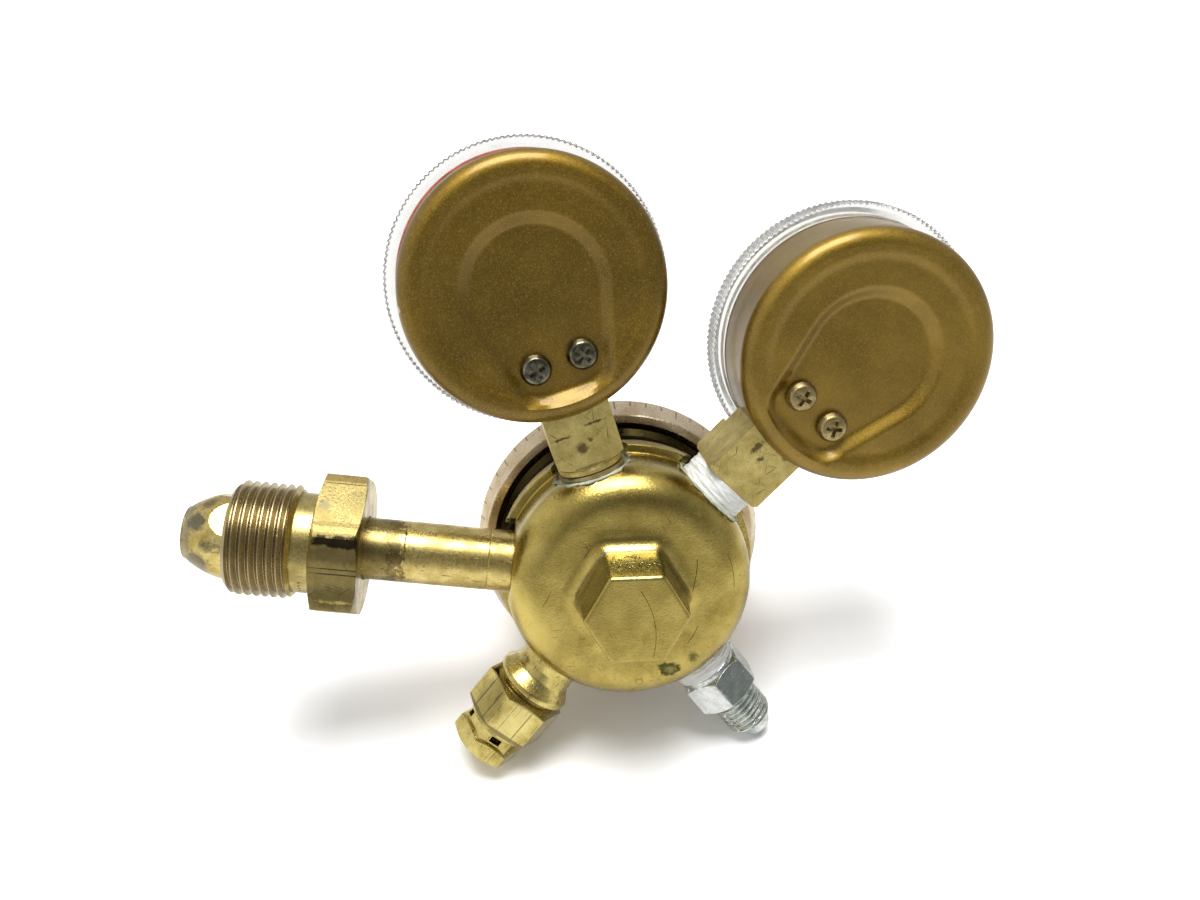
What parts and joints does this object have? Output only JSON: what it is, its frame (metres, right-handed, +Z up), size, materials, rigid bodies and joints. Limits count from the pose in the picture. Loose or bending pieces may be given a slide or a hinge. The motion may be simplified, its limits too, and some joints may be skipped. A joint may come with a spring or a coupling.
{
  "type": "gas cylinder pressure regulator",
  "caption": "Single-stage brass regulator for a gas cylinder with threaded inlet nut, back-mounted dial gauges, relief valve, flared outlet and adjusting knob.",
  "frame": {"origin": "middle of the regulator's bounding box at the level of the floor it stands on", "axes": "+X to the right across the two gauges, away from the inlet; +Y from the wrench boss towards the adjusting knob; +Z up"},
  "size_m": [0.1756, 0.1126, 0.1309],
  "materials": {
    "black_rubber": "moulded rubber",
    "black_steel": "blackened steel",
    "bonnet_brass": "aged brass, pinkish brown",
    "clear_lens": "clear plastic",
    "dial_white": "white printed dial",
    "forged_brass": "satin forged brass with fine pits and scratches",
    "gasket_red": "orange-red gasket",
    "gauge_paint": "gold metallic paint",
    "knob_plastic": "black moulded plastic",
    "movement_brass": "stamped brass",
    "nut_brass": "machined brass, worn",
    "pointer_black": "black paint",
    "relief_brass": "machined brass",
    "screw_brass": "dull plated screw",
    "seat_plastic": "white seat plastic",
    "sintered_bronze": "sintered bronze",
    "socket_brass": "drawn square brass bar with scratches",
    "spring_steel": "spring steel",
    "steel": "plain steel",
    "thread_tape": "white thread tape",
    "tube_bronze": "phosphor bronze",
    "turned_brass": "turned brass",
    "zinc_steel": "zinc plated steel"
  },
  "bodies": {
    "regulator": {"regulator_body": "forged_brass", "bonnet": "bonnet_brass", "slip_ring": "steel", "diaphragm": "black_rubber", "main_spring": "spring_steel", "nozzle": "turned_brass", "poppet_spring": "spring_steel", "inlet_nipple": "turned_brass", "inlet_filter": "sintered_bronze", "relief_body": "relief_brass", "relief_cap": "relief_brass", "relief_spring": "spring_steel", "outlet_fitting": "zinc_steel", "outlet_tape": "thread_tape", "high_gauge_socket": "socket_brass", "high_gauge_tape": "thread_tape", "high_gauge_case": "gauge_paint", "high_back_screws": "black_steel", "high_bourdon_tube": "tube_bronze", "high_movement_frame": "movement_brass", "high_dial": "dial_white", "high_lens_gasket": "gasket_red", "high_lens": "clear_lens", "low_gauge_socket": "socket_brass", "low_gauge_tape": "thread_tape", "low_gauge_case": "gauge_paint", "low_back_screws": "screw_brass", "low_bourdon_tube": "tube_bronze", "low_movement_frame": "movement_brass", "low_dial": "dial_white", "low_lens_gasket": "gasket_red", "low_lens": "clear_lens"},
    "nut": {"inlet_nut": "nut_brass"},
    "button": {"spring_button": "steel"},
    "screw": {"adjusting_screw": "steel", "adjusting_knob": "knob_plastic", "knob_set_screw": "black_steel"},
    "diaphragm_stack": {"diaphragm_plate": "steel", "diaphragm_washer": "steel"},
    "poppet": {"poppet": "turned_brass", "poppet_seat": "seat_plastic"},
    "relief_plug": {"relief_poppet": "turned_brass", "relief_seat": "black_rubber"},
    "high_pointer": {"high_pointer": "pointer_black", "high_pinion": "movement_brass"},
    "high_sector": {"high_sector_gear": "movement_brass"},
    "high_link": {"high_link": "steel"},
    "low_pointer": {"low_pointer": "pointer_black", "low_pinion": "movement_brass"},
    "low_sector": {"low_sector_gear": "movement_brass"},
    "low_link": {"low_link": "steel"}
  },
  "joints": [
    {"name": "nut_spin", "type": "hinge", "parent": "regulator", "child": "nut", "pos_m": [-0.05462, -0.02613, 0.05468], "axis": [-0.9772, 0.0714, 0.1998], "continuous": true},
    {"name": "button_slide", "type": "slide", "parent": "regulator", "child": "button", "axis": [0, -0.9416, 0.3366], "range_m": [0, 0.00508], "deforming": ["main_spring"]},
    {"name": "screw_turn", "type": "hinge", "parent": "button", "child": "screw", "pos_m": [0.00607, 0.04476, 0.01535], "axis": [0, -0.9416, 0.3366], "range_deg": [0, 1440.1]},
    {"name": "diaphragm_slide", "type": "slide", "parent": "regulator", "child": "diaphragm_stack", "axis": [0, -0.9416, 0.3366], "range_m": [0, 0.0006], "stiffness_N_per_m": 6000, "springref_m": -0.0005, "deforming": ["diaphragm"]},
    {"name": "poppet_slide", "type": "slide", "parent": "regulator", "child": "poppet", "axis": [0, -0.9416, 0.3366], "range_m": [0, 0.0006], "deforming": ["poppet_spring"]},
    {"name": "relief_slide", "type": "slide", "parent": "regulator", "child": "relief_plug", "axis": [-0.6865, -0.2448, -0.6847], "range_m": [0, 0.0012], "stiffness_N_per_m": 4000, "springref_m": -0.001, "deforming": ["relief_spring"]},
    {"name": "high_pointer_turn", "type": "hinge", "parent": "regulator", "child": "high_pointer", "pos_m": [-0.00829, -0.00868, 0.10352], "axis": [0.1021, -0.9289, 0.356], "range_deg": [0, 270], "stiffness_Nm_per_rad": 0.0005, "springref_deg": -17.19, "deforming": ["high_bourdon_tube"]},
    {"name": "high_sector_turn", "type": "hinge", "parent": "regulator", "child": "high_sector", "pos_m": [-0.00571, -0.01262, 0.09248], "axis": [0.1021, -0.9289, 0.356], "range_deg": [-38.58, 0]},
    {"name": "high_link_turn", "type": "hinge", "parent": "high_sector", "child": "high_link", "pos_m": [-0.00335, -0.01376, 0.08882], "axis": [0.1021, -0.9289, 0.356], "range_deg": [0, 38.58]},
    {"name": "low_pointer_turn", "type": "hinge", "parent": "regulator", "child": "low_pointer", "pos_m": [0.05833, -0.01535, 0.08484], "axis": [0.0547, -0.9596, 0.2758], "range_deg": [0, 270], "stiffness_Nm_per_rad": 0.0005, "springref_deg": -17.19, "deforming": ["low_bourdon_tube"]},
    {"name": "low_sector_turn", "type": "hinge", "parent": "regulator", "child": "low_sector", "pos_m": [0.04926, -0.018, 0.07745], "axis": [0.0547, -0.9596, 0.2758], "range_deg": [-38.58, 0]},
    {"name": "low_link_turn", "type": "hinge", "parent": "low_sector", "child": "low_link", "pos_m": [0.04701, -0.01919, 0.07373], "axis": [0.0547, -0.9596, 0.2758], "range_deg": [0, 38.58]}
  ],
  "couplings": [
    {"joint": "screw_turn", "follows": "button_slide", "rad_per_m": 4947.4},
    {"joint": "poppet_slide", "follows": "diaphragm_slide", "ratio": 1},
    {"joint": "high_sector_turn", "follows": "high_pointer_turn", "ratio": -0.14286},
    {"joint": "high_link_turn", "follows": "high_pointer_turn", "ratio": 0.14286},
    {"joint": "low_sector_turn", "follows": "low_pointer_turn", "ratio": -0.14286},
    {"joint": "low_link_turn", "follows": "low_pointer_turn", "ratio": 0.14286}
  ]
}
